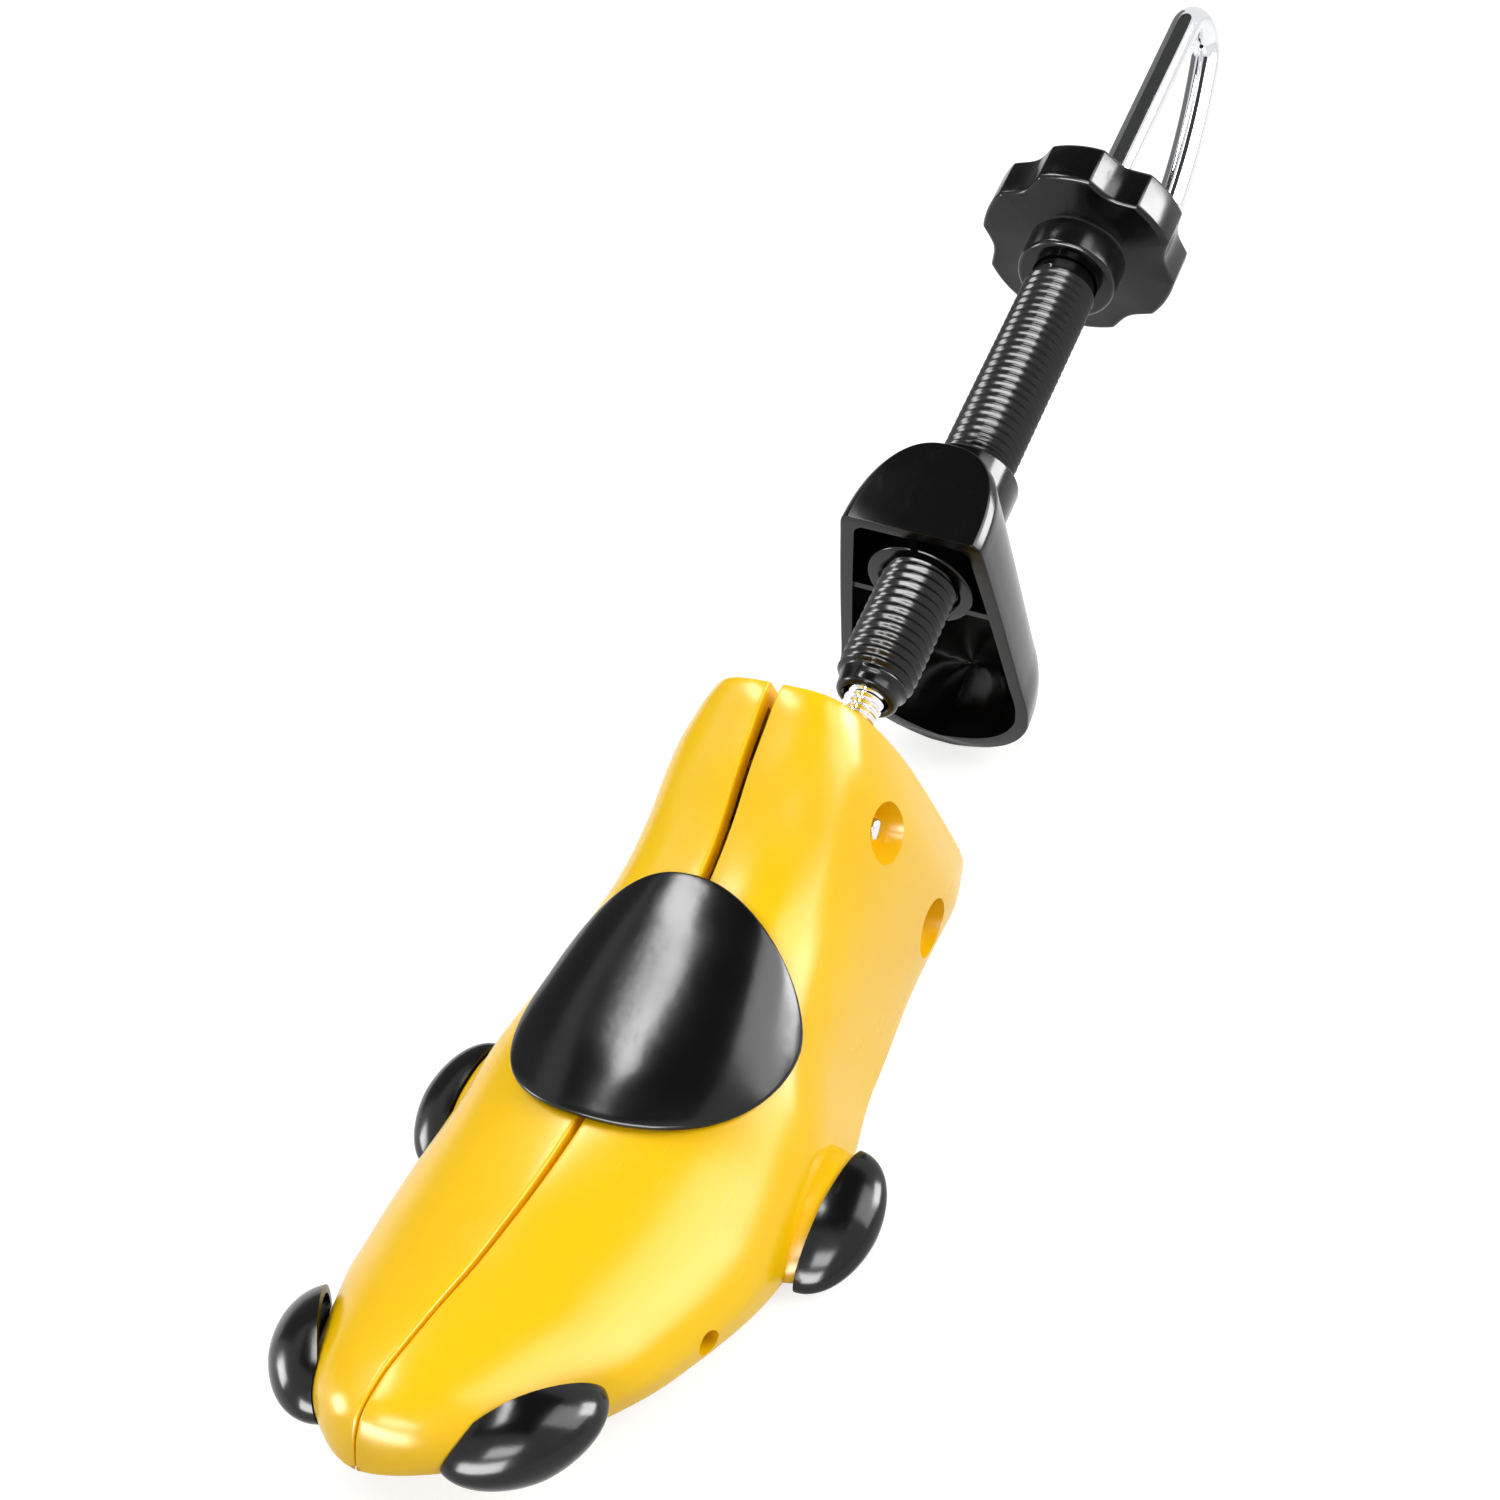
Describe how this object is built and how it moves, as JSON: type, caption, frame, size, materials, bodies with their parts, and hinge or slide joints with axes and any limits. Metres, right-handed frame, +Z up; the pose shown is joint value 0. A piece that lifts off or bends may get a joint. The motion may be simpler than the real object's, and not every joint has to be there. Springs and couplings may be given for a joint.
{
  "type": "shoe stretcher",
  "caption": "two-way shoe stretcher: a split toe block opened by a hooked screw spindle, with a heel block that travels along a threaded tube turned by a lobed knob",
  "frame": {"origin": "under the middle of the whole length, midway between the two outer plugs, on the surface that the stretcher stands on", "axes": "+X to the right seen from the heel, -Y towards the toe, +Y towards the hook, +Z up"},
  "size_m": [0.0902, 0.375, 0.1179],
  "materials": {
    "yellow_plastic": "glossy moulded plastic, warm yellow",
    "black_plastic": "glossy moulded plastic, black",
    "chrome": "bright chrome-plated steel",
    "dark_steel": "plain dark steel"
  },
  "bodies": {
    "hinge_block": {"hinge_block": "dark_steel", "upper_pin": "chrome", "lower_pin": "chrome"},
    "toe_right": {"toe_half_right": "yellow_plastic", "bunion_plug_front_right": "black_plastic", "bunion_plug_rear_right": "black_plastic"},
    "toe_left": {"toe_half_left": "yellow_plastic", "bunion_plug_front_left": "black_plastic", "bunion_plug_rear_left": "black_plastic"},
    "pad": {"instep_pad": "black_plastic"},
    "spreader": {"spreader": "dark_steel", "spreader_post_right": "chrome", "spreader_post_left": "chrome"},
    "spindle": {"spindle": "chrome", "retaining_ring": "dark_steel", "thrust_collar": "dark_steel"},
    "knob": {"threaded_tube": "black_plastic", "knob": "black_plastic", "knob_cap": "black_plastic"},
    "heel": {"heel_block": "black_plastic"}
  },
  "joints": [
    {"name": "open_right", "type": "hinge", "parent": "hinge_block", "child": "toe_right", "pos_m": [0.0175, -0.04589, 0.02915], "axis": [0, -0.3584, 0.9336], "range_deg": [0, 3.01]},
    {"name": "open_left", "type": "hinge", "parent": "hinge_block", "child": "toe_left", "pos_m": [-0.0175, -0.04589, 0.02915], "axis": [0, 0.3584, -0.9336], "range_deg": [0, 3.01]},
    {"name": "pad_lift", "type": "slide", "parent": "hinge_block", "child": "pad", "axis": [0, 0, 1], "range_m": [0, 0.00352]},
    {"name": "spindle_feed", "type": "slide", "parent": "hinge_block", "child": "spreader", "axis": [0, -0.9336, -0.3584], "range_m": [0, 0.009]},
    {"name": "spindle_turn", "type": "hinge", "parent": "spreader", "child": "spindle", "pos_m": [0, -0.0528, 0.0265], "axis": [0, -0.9336, -0.3584], "range_deg": [0, 2165]},
    {"name": "knob_turn", "type": "hinge", "parent": "spreader", "child": "knob", "pos_m": [0, 0.10749, 0.08803], "axis": [0, -0.9336, -0.3584], "range_deg": [-3610, 7210]},
    {"name": "heel_travel", "type": "slide", "parent": "spreader", "child": "heel", "axis": [0, 0.9336, 0.3584], "range_m": [-0.021, 0.042]}
  ],
  "couplings": [
    {"joint": "spindle_turn", "follows": "spindle_feed", "rad_per_m": 4188.8},
    {"joint": "open_right", "follows": "spindle_feed", "rad_per_m": 5.8178},
    {"joint": "open_left", "follows": "spindle_feed", "rad_per_m": 5.8178},
    {"joint": "pad_lift", "follows": "spindle_feed", "ratio": 0.38889},
    {"joint": "knob_turn", "follows": "heel_travel", "rad_per_m": 2992}
  ]
}
